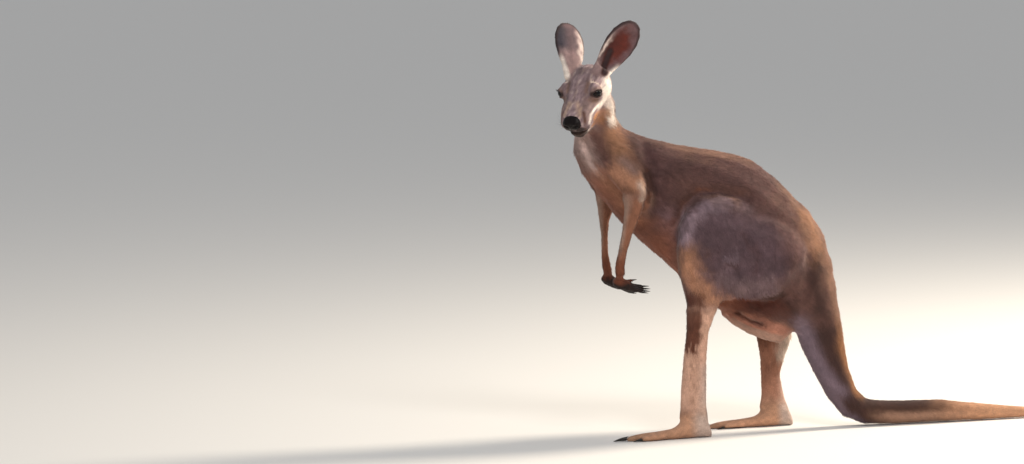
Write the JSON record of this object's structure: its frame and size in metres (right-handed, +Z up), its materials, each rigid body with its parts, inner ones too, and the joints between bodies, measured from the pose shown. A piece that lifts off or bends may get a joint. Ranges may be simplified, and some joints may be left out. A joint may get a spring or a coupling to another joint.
{
  "type": "life-size red kangaroo model, still",
  "caption": "Life-size still model of a female red kangaroo standing on its hind feet and tail, its arms hanging and its face turned to its left.",
  "frame": {"origin": "on the floor, under the middle of the model's box", "axes": "-X is the way the body faces and +X runs along the tail, -Y is the animal's left side, +Z is up"},
  "size_m": [1.2442, 0.318, 1.0443],
  "materials": {
    "coat": "short dense grey-brown fur, satin sheen",
    "coat_rusty": "short dense rusty brown fur",
    "coat_blue_grey": "short dense bluish grey fur",
    "coat_pale": "short pale sandy fur",
    "coat_dark": "short black-brown fur",
    "claw": "black horn, worn satin gloss",
    "eye": "wet gloss black-brown",
    "nose": "moist finely pebbled black skin"
  },
  "bodies": {
    "root": {"head": "coat", "lower_jaw": "coat_pale", "nose_pad": "nose", "eye_left": "eye", "eye_right": "eye", "ear_left": "coat_blue_grey", "ear_right": "coat_blue_grey", "neck": "coat_rusty", "chest": "coat_rusty", "abdomen": "coat", "rump": "coat", "tail_root": "coat_blue_grey", "tail_middle": "coat", "tail_end": "coat_pale", "pouch": "coat_pale", "thigh_left": "coat_blue_grey", "shank_left": "coat_pale", "foot_left": "coat_pale", "foot_left_claw_4": "claw", "foot_left_claw_5": "claw", "foot_left_claws_2_3": "claw", "upper_arm_left": "coat_rusty", "forearm_left": "coat", "hand_left": "coat_dark", "hand_left_claw_1": "claw", "hand_left_claw_2": "claw", "hand_left_claw_3": "claw", "hand_left_claw_4": "claw", "hand_left_claw_5": "claw", "thigh_right": "coat_blue_grey", "shank_right": "coat_pale", "foot_right": "coat_pale", "foot_right_claw_4": "claw", "foot_right_claw_5": "claw", "foot_right_claws_2_3": "claw", "upper_arm_right": "coat_rusty", "forearm_right": "coat", "hand_right": "coat_dark", "hand_right_claw_1": "claw", "hand_right_claw_2": "claw", "hand_right_claw_3": "claw", "hand_right_claw_4": "claw", "hand_right_claw_5": "claw"}
  },
  "joints": []
}
